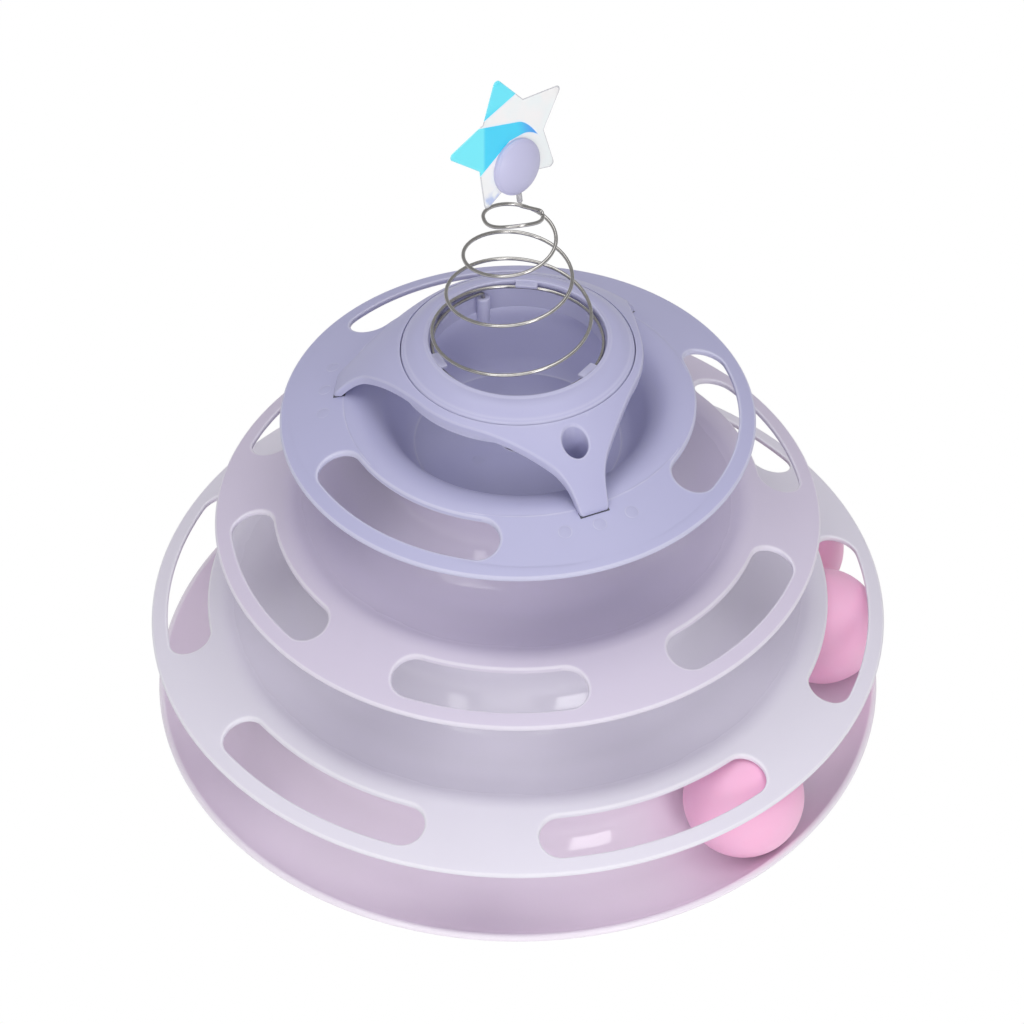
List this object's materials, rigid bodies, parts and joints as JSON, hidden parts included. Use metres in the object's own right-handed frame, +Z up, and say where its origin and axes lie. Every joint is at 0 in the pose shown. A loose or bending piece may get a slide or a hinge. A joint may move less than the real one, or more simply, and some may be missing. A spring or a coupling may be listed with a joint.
{
  "type": "cat ball track toy",
  "caption": "Round tower of slotted tiers over a dished base, with loose balls, a domed cover and a conical spring carrying a star.",
  "frame": {"origin": "middle of the round footprint, on the surface that the six rubber pads stand on", "axes": "+Z up along the axis of the tower; +X is the middle of one slot of the lowest tier; the leg with the wand socket points to 60 degrees clockwise of +X seen from above"},
  "size_m": [0.2488, 0.2488, 0.2585],
  "materials": {
    "base_lilac": "gloss, moulded",
    "rubber_grey": "matt",
    "ice_white": "gloss, moulded",
    "mauve": "gloss, moulded",
    "lavender": "satin gloss, moulded",
    "steel_wire": "bright drawn wire",
    "ferrule_clear": "translucent",
    "film_cyan": "printed glossy film",
    "ball_pink": "matt, moulded"
  },
  "bodies": {
    "base": {"base_tray": "base_lilac", "foot_pad_1": "rubber_grey", "foot_pad_2": "rubber_grey", "foot_pad_3": "rubber_grey", "foot_pad_4": "rubber_grey", "foot_pad_5": "rubber_grey", "foot_pad_6": "rubber_grey"},
    "lower": {"lower_tier": "ice_white"},
    "middle": {"middle_tier": "mauve"},
    "top": {"top_tier": "lavender", "tripod_cover": "lavender", "spring_retaining_ring": "lavender"},
    "coil": {"spring": "steel_wire"},
    "tip": {"spring_ferrule": "ferrule_clear"},
    "ornament": {"ornament_front_shell": "lavender", "ornament_back_shell": "lavender", "star": "film_cyan"},
    "front_ball": {"ball_front": "ball_pink"},
    "middle_ball": {"ball_middle": "ball_pink"},
    "back_ball": {"ball_back": "ball_pink"}
  },
  "joints": [
    {"name": "lower_tier_lift", "type": "slide", "parent": "base", "child": "lower", "axis": [0, 0, 1], "range_m": [0, 0.06]},
    {"name": "middle_tier_lift", "type": "slide", "parent": "lower", "child": "middle", "axis": [0, 0, 1], "range_m": [0, 0.06]},
    {"name": "top_tier_lift", "type": "slide", "parent": "middle", "child": "top", "axis": [0, 0, 1], "range_m": [0, 0.06]},
    {"name": "spring_press", "type": "slide", "parent": "top", "child": "coil", "axis": [0, 0, 1], "range_m": [-0.02, 0], "stiffness_N_per_m": 60, "deforming": ["spring"]},
    {"name": "ornament_sway", "type": "hinge", "parent": "coil", "child": "tip", "pos_m": [0, -0.001, 0.185], "axis": [0.6626, 0.749, 0], "range_deg": [-30, 30], "stiffness_Nm_per_rad": 0.02, "deforming": ["spring"]},
    {"name": "ornament_spin", "type": "hinge", "parent": "tip", "child": "ornament", "pos_m": [0.001, -0.0019, 0.2134], "axis": [-0.1172, 0.1037, 0.9877], "continuous": true},
    {"name": "front_ball_roll", "type": "hinge", "parent": "base", "child": "front_ball", "pos_m": [0, 0, 0.02605], "axis": [0, 0, 1], "range_deg": [-133, 0]},
    {"name": "middle_ball_roll", "type": "hinge", "parent": "base", "child": "middle_ball", "pos_m": [0, 0, 0.02605], "axis": [0, 0, 1], "range_deg": [-26, 0]},
    {"name": "back_ball_roll", "type": "hinge", "parent": "base", "child": "back_ball", "pos_m": [0, 0, 0.02605], "axis": [0, 0, 1], "range_deg": [0, 133]}
  ]
}
